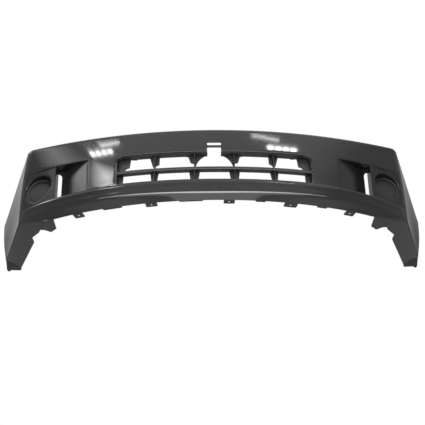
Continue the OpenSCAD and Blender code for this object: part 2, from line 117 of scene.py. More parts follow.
def top_y(x):
    return FACE_LEAN + TOP_BOW * x * x


def crease_y(x):
    return CREASE_BOW * x * x + CREASE_FLARE * x**4


def chin_y(x):
    return CHIN_TUCK + CHIN_BOW * x * x


# ------------------------------------------------------------- the skin's form
class HalfLine:
    """A plan outline from the middle of the cover to the end of one wing.

    s runs from 0 to 1 along the front, to 2 round the corner and to 3 along
    the straight wing.
    """

    def __init__(self, front, last_x, wing_a, wing_b):
        self.front = front
        self.last = Vector((last_x, front(last_x)))
        slope = front(last_x + 0.5) - front(last_x - 0.5)
        along = Vector((1.0, slope)).normalized()
        side = (Vector(wing_b) - Vector(wing_a)).normalized()
        gap = Vector(wing_a) - self.last
        reach = (gap.x * side.y - gap.y * side.x) / (along.x * side.y - along.y * side.x)
        self.knee = self.last + along * reach
        self.first = self.knee + side * abs(reach)
        self.end = Vector(wing_b)

    def at(self, s):
        if s <= 1:
            x = self.last.x * s
            return Vector((x, self.front(x)))
        if s <= 2:
            return bend(self.last, self.knee, self.first, s - 1)
        return self.first.lerp(self.end, s - 2)

    def inward(self, s):
        step = (self.at(min(s + 0.01, 3)) - self.at(max(s - 0.01, 0))).normalized()
        return Vector((-step.y, step.x)) if s > 0.01 else Vector((0.0, 1.0))


TOP_LINE = HalfLine(top_y, 688, (CORNER_X + 4, 165), (WING_X, WING_Y - 4))
CREASE_LINE = HalfLine(crease_y, 686, (CORNER_X, 196), (CREASE_END_X, WING_Y))
CHIN_LINE = HalfLine(chin_y, 596, (626, 197), (CHIN_END_X, WING_Y - 5))

# Places along the section, in millimetres of its length: the top flange, the
# round lip, the face down to the crease, and the chin
FLANGE_B, LIP_B, CREASE_B, CHIN_B = 29.0, 47.0, 343.0, 373.0
LIP_SHARE = 0.045
LIP_INSET = 11.0
CREASE_ROUND = 10.0
# Where the front, the corner and the wing end in the sheet's own coordinates
FRONT_A, CORNER_A, WING_A = 688.0, 724.0, 1052.0
# The soft ridge below the intake: height, half its width and how far it stands out
BEAD_Z, BEAD_HALF, BEAD_OUT = 66.0, 10.0, 2.8


def edge_height(s):
    """Height of the top edge: level along the front, falling along the wing."""
    t = max(s - 2, 0)
    return ramp(COVER_H, WING_TOP_H, t * t * (3 - 2 * t) * 0.35 + t * 0.65)


def bead(s, z):
    """How far the soft ridge below the intake stands out. It fades out before the corner."""
    fade = clamp((1.15 - s) / 0.3)
    return fade * BEAD_OUT * math.exp(-(((z - BEAD_Z) / BEAD_HALF) ** 2))


def section_point(s, b):
    """A point of the outer skin of the right half, before the crease is rounded.

    s is the place along the plan outlines and b the place down the section.
    """
    if b > CREASE_B:
        share = (b - CREASE_B) / (CHIN_B - CREASE_B)
        flat = CREASE_LINE.at(s).lerp(CHIN_LINE.at(s), share)
        return Vector((flat.x, flat.y, CREASE_H * (1 - share)))
    inset = 0.0
    if b < FLANGE_B:
        share = 0.0
        inset = ramp(FLANGE_INSET, LIP_INSET, b / FLANGE_B)
    elif b < LIP_B:
        turn = (b - FLANGE_B) / (LIP_B - FLANGE_B) * math.pi / 2
        share = LIP_SHARE * (1 - math.cos(turn))
        inset = LIP_INSET * (1 - math.sin(turn))
    else:
        share = ramp(LIP_SHARE, 1.0, (b - LIP_B) / (CREASE_B - LIP_B))
    z = ramp(edge_height(s), CREASE_H, share)
    swell = FACE_BULGE * math.sin(math.pi * share) + bead(s, z)
    flat = TOP_LINE.at(s).lerp(CREASE_LINE.at(s), share)
    flat = flat + TOP_LINE.inward(s) * (inset - swell)
    return Vector((flat.x, flat.y, z))


def skin_point(a, b):
    """A point of the outer skin from the sheet's own coordinates.

    a runs across the cover from the middle and b down the section, both in
    millimetres of the sheet.
    """
    far = abs(a)
    if far < FRONT_A:
        s = far / FRONT_A
    elif far < CORNER_A:
        s = 1 + (far - FRONT_A) / (CORNER_A - FRONT_A)
    else:
        s = 2 + (far - CORNER_A) / (WING_A - CORNER_A)
    off = b - CREASE_B
    if abs(off) < CREASE_ROUND:
        ends = [section_point(s, CREASE_B + d) for d in (-CREASE_ROUND, 0.0, CREASE_ROUND)]
        point = bend(*ends, (off + CREASE_ROUND) / (2 * CREASE_ROUND))
    else:
        point = section_point(s, b)
    return Vector((math.copysign(point.x, a), point.y, point.z))


def skin_surface(a, b):
    """A point of the outer skin and its outward direction."""
    a_low, a_high = max(a - 1, -WING_A), min(a + 1, WING_A)
    b_low, b_high = max(b - 0.7, 0), min(b + 0.7, CHIN_B)
    across = skin_point(a_high, b) - skin_point(a_low, b)
    down = skin_point(a, b_high) - skin_point(a, b_low)
    return skin_point(a, b), down.cross(across).normalized()


def lower_edge(a):
    """Where the chin ends in the sheet's own coordinates: it has a low notch on each wing."""
    start, peak, end, depth = 796.0, 831.0, 864.0, 6.0
    far = abs(a)
    share = min((far - start) / (peak - start), (end - far) / (end - peak))
    return CHIN_B - depth * clamp(share)


def locate(x, z):
    """The sheet's own coordinates of the point of the face at x and height z."""
    share = (COVER_H - z) / (COVER_H - CREASE_H)
    b = ramp(LIP_B, CREASE_B, (share - LIP_SHARE) / (1 - LIP_SHARE))
    low, high = 0.0, CORNER_A
    for _ in range(26):
        middle = (low + high) / 2
        if skin_point(middle, b).x < abs(x):
            low = middle
        else:
            high = middle
    return math.copysign(low, x), b


def locate_on_flange(x, y):
    """The sheet's own coordinates of the point of the top flange at x and y."""
    a, b = float(x), FLANGE_B / 2
    for _ in range(8):
        point = skin_point(a, b)
        a += x - point.x
        b -= y - point.y
    return a, b


def face_y(x, z):
    """Depth of the plain face, without its bead, at x and height z."""
    share = (z - CREASE_H) / (COVER_H - CREASE_H)
    return ramp(crease_y(x), top_y(x), share) - FACE_BULGE * math.sin(math.pi * share)


# ---------------------------------------------------------------- mesh helpers
# Length of an arc's chords, and the angle from which an edge is drawn sharp
ARC_STEP = 2.2
SHARP_ANGLE = 32


def round_outline(corners, step):
    """A closed outline from (x, z, radius) corners, with points at most step apart."""
    points = []
    count = len(corners)
    for i, (x, z, radius) in enumerate(corners):
        here = Vector((x, z))
        before = Vector(corners[i - 1][:2])
        after = Vector(corners[(i + 1) % count][:2])
        into = (here - before).normalized()
        out = (after - here).normalized()
        turn = into.angle(out)
        cut = radius * math.tan(turn / 2)
        first, last = here - into * cut, here + out * cut
        pieces = max(int(radius * turn / ARC_STEP), 2)
        middle = first + (last - first) * 0.5
        centre = here + (middle - here).normalized() * radius / math.cos(turn / 2)
        arc = [first]
        for k in range(1, pieces):
            flat = bend(first, here, last, k / pieces)
            arc.append(centre + (flat - centre).normalized() * radius)
        arc.append(last)
        points.append(arc)
    outline = []
    for i, arc in enumerate(points):
        outline += arc
        start, end = arc[-1], points[(i + 1) % count][0]
        pieces = max(int((end - start).length / step), 1)
        outline += [start.lerp(end, k / pieces) for k in range(1, pieces)]
    return outline


def circle_outline(x, z, radius, count):
    turn = 2 * math.pi / count
    turns = [turn * k for k in range(count)]
    return [Vector((x + radius * math.cos(t), z + radius * math.sin(t))) for t in turns]


def away(outline):
    """At each point of a closed outline, the direction that leads out of it."""
    count = len(outline)
    found = []
    for i in range(count):
        step = (outline[(i + 1) % count] - outline[i - 1]).normalized()
        found.append(Vector((step.y, -step.x)))
    return found


def inside(point, outline):
    """Whether a point lies inside a closed outline."""
    x, y = point
    hit = False
    for i in range(len(outline)):
        (x1, y1), (x2, y2) = outline[i - 1], outline[i]
        if (y1 > y) != (y2 > y) and x < x1 + (y - y1) * (x2 - x1) / (y2 - y1):
            hit = not hit
    return hit


class Hole:
    """An opening in a sheet: its rim, and the profile that rolls into it.

    ring holds the rim in the sheet's own coordinates. profile(i, point,
    normal) gives the points that lead from the rim's point i on the outer
    face into the opening and back to the rim on the inner face.
    """

    def __init__(self, ring, profile, margin):
        self.ring = [Vector(p) for p in ring]
        self.profile = profile
        xs = [p.x for p in self.ring]
        ys = [p.y for p in self.ring]
        self.low = (min(xs) - margin, min(ys) - margin)
        self.high = (max(xs) + margin, max(ys) + margin)
        self.margin = margin

    def near(self, p):
        """Whether a point lies in the opening or too close to its rim."""
        if not (self.low[0] < p[0] < self.high[0] and self.low[1] < p[1] < self.high[1]):
            return False
        if any((q - Vector(p)).length_squared < self.margin**2 for q in self.ring):
            return True
        return inside(p, self.ring)


def sheet(mesh, surface, boundary, seeds, holes, thick):
    """Adds a closed wall of a sheet with openings to the mesh.

    surface(a, b) gives a point and its outward direction, boundary is the
    outer rim and seeds are the points between, all in sheet coordinates.
    """
    count = len(boundary)
    outlines = [[Vector(p) for p in boundary], *(hole.ring for hole in holes)]
    points = list(outlines[0])
    edges = [(i, (i + 1) % count) for i in range(count)]
    rings = []
    for hole in holes:
        start = len(points)
        length = len(hole.ring)
        points += hole.ring
        edges += [(start + i, start + (i + 1) % length) for i in range(length)]
        rings.append(range(start, start + length))
    points += [Vector(p) for p in seeds if not any(hole.near(p) for hole in holes)]
    flat, _, triangles, origins, _, _ = delaunay_2d_cdt(points, edges, [], 0, 1e-5)
    # The triangulation's own number for each point, and the rim each of those is on
    place = {}
    for out, sources in enumerate(origins):
        for source in sources:
            place[source] = out
    owner = {place[i]: n + 1 for n, ring in enumerate(rings) for i in ring}
    owner |= {place[i]: 0 for i in range(count)}
    spots = [surface(p.x, p.y) for p in flat]
    outer = [mesh.verts.new(point) for point, _ in spots]
    inner = [mesh.verts.new(point - normal * thick) for point, normal in spots]
    for triangle in triangles:
        owners = {owner.get(v, -1) for v in triangle}
        if len(owners) == 1 and -1 not in owners:
            # All three corners lie on one rim, so the triangle may lie outside the wall
            centre = sum((flat[v] for v in triangle), Vector((0.0, 0.0))) / 3
            which = owners.pop()
            if inside(centre, outlines[which]) != (which == 0):
                continue
        mesh.faces.new([outer[v] for v in reversed(triangle)])
        mesh.faces.new([inner[v] for v in triangle])
    for i in range(count):
        a, b = place[i], place[(i + 1) % count]
        mesh.faces.new((outer[a], outer[b], inner[b], inner[a]))
    for hole, ring in zip(holes, rings):
        columns = []
        for i, source in enumerate(ring):
            point, normal = spots[place[source]]
            lining = [mesh.verts.new(p) for p in hole.profile(i, point, normal)]
            columns.append([outer[place[source]], *lining, inner[place[source]]])
        for i, column in enumerate(columns):
            after = columns[(i + 1) % len(columns)]
            for k in range(len(column) - 1):
                mesh.faces.new((column[k], column[k + 1], after[k + 1], after[k]))


# The turns of a rolled edge, from just past the face to straight inwards
ROLL_TURNS = [math.pi / 2 * k / 5 for k in range(1, 6)]


def roll(outline, radius, depth, back):
    """The profile of an edge that rolls in by radius and ends depth behind the face.

    back is the thickness of the turned-in rim.
    """
    outward = away(outline)

    def profile(i, point, normal):
        def at(offset, deep):
            dx = outward[i].x * (offset - radius)
            dz = outward[i].y * (offset - radius)
            slope = -(normal.x * dx + normal.z * dz) / min(normal.y, -0.4)
            return Vector((point.x + dx, point.y + slope + deep, point.z + dz))

        curve = [at(radius * (1 - math.sin(t)), radius * (1 - math.cos(t))) for t in ROLL_TURNS]
        return [*curve, at(0, depth), at(back, depth), at(back, SKIN + 0.4)]

    return profile


def face_hole(corners, radius, depth, back, step=5.0):
    """An opening in the face, drawn in x and z, with a rolled edge."""
    outline = round_outline(corners, step)
    outward = away(outline)
    rim = [p + n * radius for p, n in zip(outline, outward)]
    return Hole([locate(p.x, p.y) for p in rim], roll(outline, radius, depth, back), 3.5)


def unlined(_i, _point, _normal):
    """The profile of a plain hole, whose wall needs no points of its own."""
    return []


def flange_hole(x, y, radius):
    """A round hole through the top flange."""
    ring = [locate_on_flange(p.x, p.y) for p in circle_outline(x, y, radius, 20)]
    return Hole(ring, unlined, 1.5)


def loft(mesh, rings, closed_ends=True):
    """Joins rings of points, each the same length, into a closed body."""
    rows = [[mesh.verts.new(p) for p in ring] for ring in rings]
    count = len(rows[0])
    for low, high in zip(rows, rows[1:]):
        for i in range(count):
            j = (i + 1) % count
            mesh.faces.new((low[i], low[j], high[j], high[i]))
    if closed_ends:
        mesh.faces.new(rows[0])
        mesh.faces.new(rows[-1])
    else:
        for i in range(count):
            j = (i + 1) % count
            mesh.faces.new((rows[-1][i], rows[-1][j], rows[0][j], rows[0][i]))


def shrink(outline, amount):
    """A closed outline moved inwards by a small amount."""
    return [p - n * amount for p, n in zip(outline, away(outline))]


def standing(u, v, w):
    """Places a plate upright, with its thickness along the car."""
    return (u, w, v)


def lying(u, v, w):
    """Places a plate level, with its thickness upwards."""
    return (u, v, w)


def plate(mesh, outline, place, near, far, chamfer=0.5):
    """A flat plate with chamfered edges. place(u, v, w) puts it in space."""
    levels = ((near, chamfer), (near + chamfer, 0), (far - chamfer, 0), (far, chamfer))
    loft(mesh, [[place(p.x, p.y, w) for p in shrink(outline, gap)] for w, gap in levels])


def anticlockwise(outline):
    """The same closed outline, turned round if it runs clockwise."""
    area = sum(a.x * b.y - b.x * a.y for a, b in zip(outline, outline[1:] + outline[:1]))
    return outline if area > 0 else outline[::-1]


def tidy_outline(points, radius=1.5, step=40.0):
    """A rounded outline from plain corners, in anticlockwise order."""
    corners = anticlockwise([Vector(p) for p in points])
    return round_outline([(p.x, p.y, radius) for p in corners], step)


def finish_piece(name, mesh, slot, material, *nodes):
    """Turns a mesh in millimetres into a named piece that rides on the part."""
    bmesh.ops.recalc_face_normals(mesh, faces=mesh.faces)
    for vert in mesh.verts:
        vert.co = metres(vert.co)
    data = bpy.data.meshes.new(name)
    mesh.to_mesh(data)
    mesh.free()
    for polygon in data.polygons:
        polygon.use_smooth = True
    data.set_sharp_from_angle(angle=math.radians(SHARP_ANGLE))
    data.materials.append(material)
    piece = bpy.data.objects.new(name, data)
    scene.collection.objects.link(piece)
    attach(piece, "root")
    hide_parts(*nodes)


def finish_side(side, name, mesh, slot, material, node):
    """Finishes a piece that was built on the right-hand side, mirrored for the left."""
    end = "right" if side > 0 else "left"
    if side < 0:
        for vert in mesh.verts:
            vert.co.x = -vert.co.x
    finish_piece(f"{name}_{end}", mesh, slot, material, f"{node}_{end}")


# ------------------------------------------------------------------- materials
def moulded(name, colour, roughness, grain, depth, mottle, shine=0.5):
    """Moulded plastic or plated metal: a fine grain over broad, faint mottling.

    grain is the scale of the fine bumps, depth their height in metres, and
    mottle the share by which colour and roughness vary.
    """
    material = bpy.data.materials.new(name)
    material.use_nodes = True
    tree = material.node_tree
    shader = tree.nodes["Principled BSDF"]
    shader.inputs["Specular IOR Level"].default_value = shine
    place = tree.nodes.new("ShaderNodeTexCoord")
    fine = tree.nodes.new("ShaderNodeTexNoise")
    fine.inputs["Scale"].default_value = grain
    fine.inputs["Detail"].default_value = 4.0
    broad = tree.nodes.new("ShaderNodeTexNoise")
    broad.inputs["Scale"].default_value = 9.0
    broad.inputs["Detail"].default_value = 3.0
    for node in (fine, broad):
        tree.links.new(place.outputs["Object"], node.inputs["Vector"])
    tint = tree.nodes.new("ShaderNodeValToRGB")
    tint.color_ramp.elements[0].position = 0.35
    tint.color_ramp.elements[1].position = 0.68
    tint.color_ramp.elements[0].color = (*[c * (1 - mottle) for c in colour], 1)
    tint.color_ramp.elements[1].color = (*[c * (1 + mottle) for c in colour], 1)
    tree.links.new(broad.outputs["Fac"], tint.inputs["Fac"])
    tree.links.new(tint.outputs["Color"], shader.inputs["Base Color"])
    wear = tree.nodes.new("ShaderNodeMapRange")
    wear.inputs["To Min"].default_value = roughness * (1 - mottle)
    wear.inputs["To Max"].default_value = roughness * (1 + mottle)
    tree.links.new(broad.outputs["Fac"], wear.inputs["Value"])
    tree.links.new(wear.outputs["Result"], shader.inputs["Roughness"])
    bump = tree.nodes.new("ShaderNodeBump")
    bump.inputs["Strength"].default_value = 0.6
    bump.inputs["Distance"].default_value = depth
    tree.links.new(fine.outputs["Fac"], bump.inputs["Height"])
    tree.links.new(bump.outputs["Normal"], shader.inputs["Normal"])
    return material


COVER_PLASTIC = moulded("cover_plastic", (0.009, 0.009, 0.0095), 0.08, 900.0, 0.000004, 0.12)
GRILLE_PLASTIC = moulded("grille_plastic", (0.011, 0.011, 0.012), 0.45, 1400.0, 0.0001, 0.15)
POCKET_PLASTIC = moulded("pocket_plastic", (0.009, 0.009, 0.0095), 0.26, 1200.0, 0.00003, 0.15, 0.36)
BLANK_PLASTIC = moulded("blank_plastic", (0.009, 0.009, 0.0095), 0.5, 1100.0, 0.00006, 0.3, 0.35)
NYLON = moulded("nylon", (0.03, 0.03, 0.032), 0.5, 700.0, 0.00005, 0.2)
ZINC = moulded("zinc", (0.5, 0.5, 0.48), 0.33, 500.0, 0.00003, 0.2)
ZINC.node_tree.nodes["Principled BSDF"].inputs["Metallic"].default_value = 1.0


# -------------------------------------------------------------------- the skin
def steps(low, high, count):
    """Places from low up to just before high."""
    return [ramp(low, high, k / count) for k in range(count)]


# From this place down the section the rows are closer, for the ridge and the crease
FINE_B = 290.0
SECTION_ROWS = [
    *steps(0, FLANGE_B, 3),
    *steps(FLANGE_B, LIP_B, 7),
    *steps(LIP_B, FINE_B, 30),
    *steps(FINE_B, CREASE_B - CREASE_ROUND, 18),
    *steps(CREASE_B - CREASE_ROUND, CREASE_B + CREASE_ROUND, 5),
    *steps(CREASE_B + CREASE_ROUND, CHIN_B, 5),
    CHIN_B,
]
COLUMNS = [
    *steps(-WING_A, -CORNER_A, 36),
    *steps(-CORNER_A, -FRONT_A, 14),
    *steps(-FRONT_A, FRONT_A, 192),
    *steps(FRONT_A, CORNER_A, 14),
    *steps(CORNER_A, WING_A, 36),
    WING_A,
]
# Height of the tabs' underside, and the radius of their holes
TAB_Z, TAB_HOLE_R = 0.4, 4.0


def tab_plate(mesh, x, wide, long, hole):
    """A flat tab that runs backwards from the chin's lower edge.

    hole is how far its hole lies from the edge, or 0 for a tab without one.
    """
    slope = math.atan(2 * CHIN_BOW * x)
    middle = Vector((x, chin_y(x) + 1))
    across = Vector((math.cos(slope), math.sin(slope)))
    back = Vector((-across.y, across.x))
    corner = min(3.0, long / 3)
    half = wide / 2
    corners = [(-half, 0, 0.4), (half, 0, 0.4), (half, long, corner), (-half, long, corner)]
    outline = round_outline(corners, 30)
    holes = []
    if hole:
        ring = circle_outline(0, hole, TAB_HOLE_R, 20)
        holes.append(Hole(ring, unlined, 0.5))

    def surface(u, v):
        spot = middle + across * u + back * v
        return Vector((spot.x, spot.y, TAB_Z)), Vector((0, 0, -1))

    sheet(mesh, surface, outline, [], holes, SKIN)


def foot_point(u, v, w):
    """A point of the arch flange's foot, which slants backwards from the chin's end."""
    edge = ramp(0, CREASE_H, (abs(u) - CHIN_END_X) / (CREASE_END_X - CHIN_END_X))
    below = max(edge - v, 0)
    return (u, w + 0.5 * below, v + 0.35 * below)


def cover_holes():
    """All openings of the skin: intake, slit, pockets, and the holes in the top flange."""
    x, low, high = INTAKE_X, INTAKE_LOW, INTAKE_HIGH
    foot_x = x - INTAKE_LEAN
    intake = [
        (-foot_x, low, INTAKE_LOWER_R), (foot_x, low, INTAKE_LOWER_R), (x, high, INTAKE_UPPER_R),
        (NOTCH_X, high, 4.5), (NOTCH_X, NOTCH_TOP, 3), (-NOTCH_X, NOTCH_TOP, 3),
        (-NOTCH_X, high, 4.5), (-x, high, INTAKE_UPPER_R),
    ]
    slit = [
        (-SLIT_X, SLIT_LOW, 2), (SLIT_X, SLIT_LOW, 2), (SLIT_X, SLIT_HIGH, 2), (-SLIT_X, SLIT_HIGH, 2)
    ]
    holes = [
        face_hole(intake, radius=3.5, depth=7.0, back=2.2),
        face_hole(slit, radius=1.5, depth=4, back=1.2),
    ]
    for side in (-1, 1):
        pocket = [
            (side * (POCKET_IN - POCKET_LEAN), POCKET_LOW + 2, 5), (side * POCKET_OUT, POCKET_LOW, 7),
            (side * POCKET_OUT, POCKET_HIGH, 7), (side * POCKET_IN, POCKET_HIGH - 1, 7),
        ]
        if side < 0:
            pocket.reverse()
        holes.append(face_hole(pocket, radius=3.0, depth=6.0, back=2.2))
    bolts = [(x, OUTER_BOLT_BACK if abs(x) == OUTER_BOLT_X else INNER_BOLT_BACK) for x in BOLT_PLACES]
    holes += [flange_hole(x, top_y(x) + back, radius=3.5) for x, back in bolts]
    holes += [flange_hole(x, top_y(x) + OUTER_BOLT_BACK, radius=3.0) for x in RIVET_PLACES]
    return holes


def chin_tabs(mesh):
    """The tabs along the chin, as (x, width, length, place of the hole)."""
    for x, wide, long, hole in (
        (-353, 68, 8, 0), (-219, 40, 22, 12), (-82, 80, 6, 0), (48, 38, 22, 12), (155, 34, 6, 0),
        (262, 46, 24, 13), (371, 35, 7, 0), (-478, 36, 26, 14), (478, 36, 26, 14),
    ):
        tab_plate(mesh, x, wide, long, hole)


def arch_edges(mesh, side):
    """The corner tab, and the wheel arch flange with its foot."""
    corner = [(566, 125), (597.4, 137.8), (625.4, 197), (611, 198), (590, 213), (567, 190)]
    outline = tidy_outline([(side * u, v) for u, v in corner])
    plate(mesh, outline, lying, TAB_Z, TAB_Z + SKIN)
    flange = [
        (WING_X - 2, WING_TOP_H - 3), (819, CREASE_H + 1), (762, 3), (770, 20),
        (793, CREASE_H + 14), (WING_X - 28, WING_TOP_H - 3),
    ]
    outline = tidy_outline([(side * u, v) for u, v in flange])
    plate(mesh, outline, standing, WING_Y - 9, WING_Y - 6)
    foot = [(820, 30), (817, -12), (812, -17), (805, -17), (800, -11), (760, -11), (756, -6), (756, 1)]
    outline = tidy_outline([(side * u, v) for u, v in foot], 1.0, 8)
    plate(mesh, outline, foot_point, WING_Y - 7, WING_Y - 4)


def screw_posts(mesh):
    """Round posts behind the face that take the grille's screws."""
    for x, z in SCREW_POSTS:
        near, far = face_y(x, z) + 1.5, face_y(x, z) + WEB_DEPTH
        plate(mesh, circle_outline(x, z, POST_R, 24), standing, near, far)


def build_cover():
    mesh = bmesh.new()
    boundary = [(a, 0.0) for a in COLUMNS]
    boundary += [(WING_A, b) for b in SECTION_ROWS[1:]]
    boundary += [(a, lower_edge(a)) for a in COLUMNS[-2::-1]]
    boundary += [(-WING_A, b) for b in SECTION_ROWS[-2:0:-1]]
    seeds = [(a, b) for a in COLUMNS[1:-1] for b in SECTION_ROWS[1:-1] if b < lower_edge(a) - 1]
    sheet(mesh, skin_surface, boundary, seeds, cover_holes(), SKIN)
    chin_tabs(mesh)
    for side in (-1, 1):
        arch_edges(mesh, side)
    screw_posts(mesh)
    finish_piece("cover_skin", mesh, "cover", COVER_PLASTIC, "fascia")


build_cover()


# ------------------------------------------------------------------ the grille
# Room between the grille and the edge of the intake
GRILLE_GAP = 0.6


def behind(x, z, deep):
    """A point behind the face at x and height z."""
    return Vector((x, face_y(x, z) + deep, z))


def bar_section(near, far, low, high, radius):
    """A rounded bar's section as (depth, height) pairs."""
    outline = round_outline([(near, low, radius), (far, low, 1), (far, high, 1), (near, high, radius)], 30)
    return [(p.x, p.y) for p in outline]


def grille_wall(mesh):
    """The wall that lines the intake. It is open at the notch, within 20 mm of the middle."""
    wall, back, notch = 2.5, WEB_DEPTH + 3, 20
    x, low, high = INTAKE_X - GRILLE_GAP, INTAKE_LOW + GRILLE_GAP, INTAKE_HIGH - GRILLE_GAP
    foot_x = x - INTAKE_LEAN
    opening = round_outline([(-foot_x, low, 8), (foot_x, low, 8), (x, high, 25), (-x, high, 25)], 6)

    def on_top(point):
        return point.y > high - 0.1

    start = max(range(len(opening)), key=lambda i: (on_top(opening[i]), -abs(opening[i].x - notch)))
    path = opening[start:] + opening[:start]
    section = ((0, 4.5), (0, back), (-wall, back), (-wall, 6.5), (-wall + 0.8, 4.9))
    rings = []
    for p, n in zip(path, away(path)):
        if not (on_top(p) and abs(p.x) < notch):
            rings.append([behind(p.x + n.x * out, p.y + n.y * out, deep) for out, deep in section])
    loft(mesh, rings)


def grille_bars(mesh, low, high):
    """The blade across the intake and the four ribs."""
    end = INTAKE_X - GRILLE_GAP - 4
    stations = [ramp(-end, end, k / 64) for k in range(65)]
    blade = bar_section(5, 5 + BLADE_D, 0, BLADE_H, 3.5)
    loft(mesh, [[behind(x, BLADE_Z, d) + Vector((0, 0, h)) for d, h in blade] for x in stations])
    heights = [ramp(low, high, k / 16) for k in range(17)]
    rib = bar_section(7, WEB_DEPTH + 2, -1.5, 1.5, 1.3)
    for k in (-1.5, -0.5, 0.5, 1.5):
        loft(mesh, [[behind(k * RIB_PITCH, z, d) + Vector((h, 0, 0)) for d, h in rib] for z in heights])


def web_outlines(side, foot, top):
    """The outlines in x and z of the flat webs behind one half of the grille."""
    middle = BLADE_Z + 2
    inner, outer = 0.5 * RIB_PITCH, 1.5 * RIB_PITCH
    # Inner rib: an arch over the middle opening, a steep edge outside
    start, knee, end = (inner - 1.5, 150), (inner - 14, 204), (inner - 46, top)
    arch = [bend(Vector(start), Vector(knee), Vector(end), k / 7) for k in range(8)]
    shoulder = [
        (inner + 24, top), (inner + 19, 197), (inner + 14.5, 178), (inner + 2, 172), (inner + 2, 150),
    ]
    # Outer rib: a narrower web that tapers on the outside
    taper = [
        (outer - 2, 150), (outer - 3.5, 168), (outer - 16, 176), (outer - 16, top),
        (outer + 20, top), (outer + 8, 168), (outer + 2, 160),
    ]
    # The end of the intake
    corner = [
        (300, top), (302, 172), (313, 168), (330, 146), (330, middle), (322, middle - 4),
        (322, foot), (342, foot + 4), (349, top - 21), (340, top - 7), (330, top),
    ]
    webs = [[(p.x, p.y) for p in arch] + shoulder, taper, corner]
    # Below the blade, each rib widens upwards
    for x, half in ((inner, 19), (outer, 15)):
        webs.append([(x - half, middle), (x - half + 6, foot), (x + half - 6, foot), (x + half, middle)])
    return [[(side * u, v) for u, v in web] for web in webs]


def screw_lugs(mesh):
    """Lugs on the wall of the grille that reach the screw posts of the skin."""
    for x, z in SCREW_POSTS:
        base = INTAKE_HIGH - 3 if z > BLADE_Z else INTAKE_LOW + 3
        left, right = x - LUG_R, x + LUG_R
        strap = tidy_outline([(left, base), (left, z), (right, z), (right, base)], 1)
        near = face_y(x, z) + WEB_DEPTH + 0.2
        for shape in (strap, circle_outline(x, z, LUG_R, 24)):
            plate(mesh, shape, standing, near, near + 2.5, 0.3)


def build_grille():
    mesh = bmesh.new()
    low, high = INTAKE_LOW + GRILLE_GAP + 1, INTAKE_HIGH - GRILLE_GAP - 1
    grille_wall(mesh)
    grille_bars(mesh, low, high)
    for web in web_outlines(-1, low, high) + web_outlines(1, low, high):
        plate(mesh, tidy_outline(web, 1.2, 12), behind, WEB_DEPTH - 1, WEB_DEPTH + 1, 0.3)
    screw_lugs(mesh)
    finish_piece("intake_grille", mesh, "grille", GRILLE_PLASTIC, "lower_grille")


build_grille()


# ------------------------------------------------------------ fog lamp pockets
# The lamp plate runs from the slot to this place, this far behind the face at the slot
PLATE_END_X, PLATE_BACK = 690.0, 3.5
PLATE_SLOPE = (face_y(PLATE_END_X, LAMP_Z) - face_y(SLOT_OUT, LAMP_Z)) / (PLATE_END_X - SLOT_OUT)
LAMP_AXIS = Vector((math.sin(math.radians(LAMP_YAW)), -math.cos(math.radians(LAMP_YAW)), 0))
LAMP_ACROSS = Vector((-LAMP_AXIS.y, LAMP_AXIS.x, 0))


def lean(x, z):
    """How far behind its depth at the lamp's height the face lies at height z."""
    return (z - LAMP_Z) * (face_y(x, POCKET_HIGH) - face_y(x, POCKET_LOW)) / (POCKET_HIGH - POCKET_LOW)


def plate_y(x, z):
    """Depth of the lamp plate at x and height z."""
    return face_y(SLOT_OUT, LAMP_Z) + PLATE_BACK + (x - SLOT_OUT) * PLATE_SLOPE + lean(x, z)


LAMP_CENTRE = Vector((LAMP_X, plate_y(LAMP_X, LAMP_Z), LAMP_Z))
SEAT_TURNS = [2 * math.pi * k / 72 for k in range(72)]


def seat_point(turn, radius, deep):
    """A point round the lamp's axis, deep behind the middle of the plate."""
    ray = LAMP_ACROSS * math.cos(turn) + Vector((0, 0, math.sin(turn)))
    return LAMP_CENTRE + ray * radius - LAMP_AXIS * deep


def plate_depth(turn, radius):
    """How deep the plate lies along the lamp's axis at that place."""
    point = seat_point(turn, radius, 0)
    gap = plate_y(point.x, point.z) - point.y
    return gap / (-LAMP_AXIS.y + LAMP_AXIS.x * PLATE_SLOPE)


def lamp_plate(mesh):
    """The flat face beyond the slot, with its round lamp seat."""
    lip, bottom, inner, outer = 4.0, LAMP_DEPTH, LAMP_R - 10, LAMP_R + POCKET_WALL
    normal = Vector((PLATE_SLOPE, -1, 0)).normalized()

    def surface(u, v):
        return Vector((u, plate_y(u, v), v)), normal

    def profile(i, point, _normal):
        turn = SEAT_TURNS[i]
        found = []
        for t in ROLL_TURNS:
            radius = LAMP_R + lip * (1 - math.sin(t))
            found.append(seat_point(turn, radius, plate_depth(turn, radius) + lip * (1 - math.cos(t))))
        steps_in = ((LAMP_R, bottom - 1.5), (LAMP_R - 1.5, bottom), (inner, bottom))
        steps_out = ((inner, bottom + POCKET_WALL), (outer, bottom + POCKET_WALL))
        found += [seat_point(turn, r, d) for r, d in steps_in + steps_out]
        found.append(seat_point(turn, outer, plate_depth(turn, outer) + 3.2))
        return found

    rim = [seat_point(t, LAMP_R + lip, plate_depth(t, LAMP_R + lip)) for t in SEAT_TURNS]
    hole = Hole([(p.x, p.z) for p in rim], profile, 2.0)
    near, far, low, high = SLOT_OUT + 0.5, POCKET_OUT + 4, POCKET_LOW - 4, POCKET_HIGH + 4
    edge = [(near, low, 1), (far, low, 1), (far, high, 1), (near, high, 1)]
    across = [ramp(SLOT_OUT + 4, POCKET_OUT, i / 16) for i in range(17)]
    upwards = [ramp(POCKET_LOW, POCKET_HIGH, k / 20) for k in range(21)]
    seeds = [(x, z) for x in across for z in upwards]
    sheet(mesh, surface, round_outline(edge, 6), seeds, [hole], POCKET_WALL)


